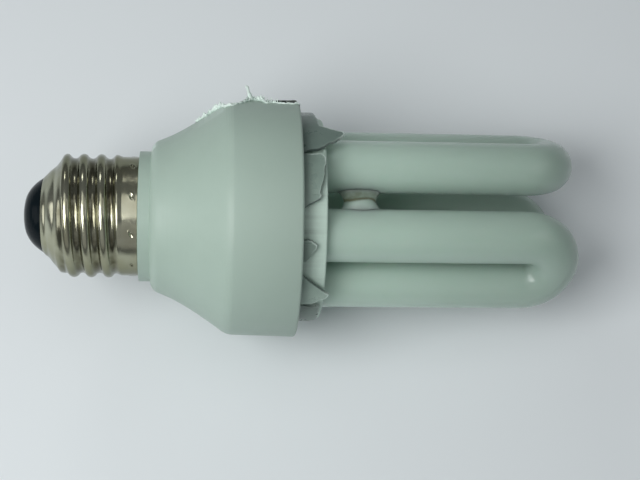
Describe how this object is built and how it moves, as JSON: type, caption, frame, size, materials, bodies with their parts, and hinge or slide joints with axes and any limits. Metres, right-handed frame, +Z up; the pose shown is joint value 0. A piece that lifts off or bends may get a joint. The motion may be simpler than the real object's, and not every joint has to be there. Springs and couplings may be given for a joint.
{
  "type": "compact fluorescent reflector lamp",
  "caption": "Compact fluorescent lamp with a screw cap and bent discharge tubes, lying on its side, its glass reflector broken off at the neck",
  "frame": {"origin": "centre of the centre contact's outer face, at the end of the screw cap", "axes": "+X runs along the lamp towards the tubes, with the lamp's own axis leaning down by the angle at which it rests; +Z up from the floor it lies on; +Y to the side that carries the torn glue"},
  "size_m": [0.1172, 0.0508, 0.0518],
  "materials": {
    "contact_metal": "satin",
    "black_glass": "glossy",
    "plated_brass": "dull plated",
    "white_housing": "satin moulded",
    "white_holder": "matte moulded",
    "cement": "rough",
    "coated_tube_glass": "glossy, white inside",
    "grey_adhesive": "matte",
    "reflector_glass": "glossy, broken",
    "white_glue": "frayed",
    "board_laminate": "matte",
    "dark_sleeve": "glossy",
    "ferrite": "matte",
    "copper_wire": "enamelled",
    "black_moulding": "matte",
    "brown_dip": "glossy",
    "resistor_body": "matte",
    "green_coat": "matte"
  },
  "bodies": {
    "root": {"centre_contact": "contact_metal", "cap_insulator": "black_glass", "screw_shell": "plated_brass", "housing": "white_housing", "tube_holder": "white_holder", "tube_cement": "cement", "discharge_tube": "coated_tube_glass", "reflector_adhesive": "grey_adhesive", "glass_stub_1": "reflector_glass", "glass_stub_2": "reflector_glass", "glass_stub_3": "reflector_glass", "glass_stub_4": "reflector_glass", "glass_stub_5": "reflector_glass", "torn_glue": "white_glue", "glue_strand": "white_glue", "circuit_board": "board_laminate", "smoothing_capacitor": "dark_sleeve", "choke_core": "ferrite", "choke_winding": "copper_wire", "drive_ring": "ferrite", "drive_windings": "copper_wire", "transistor_1": "black_moulding", "transistor_2": "black_moulding", "film_capacitor_1": "brown_dip", "film_capacitor_2": "brown_dip", "rectifier_diodes": "black_moulding", "resistors": "resistor_body", "fuse_resistor": "green_coat", "cap_lead": "copper_wire", "electrode_leads": "contact_metal"}
  },
  "joints": []
}
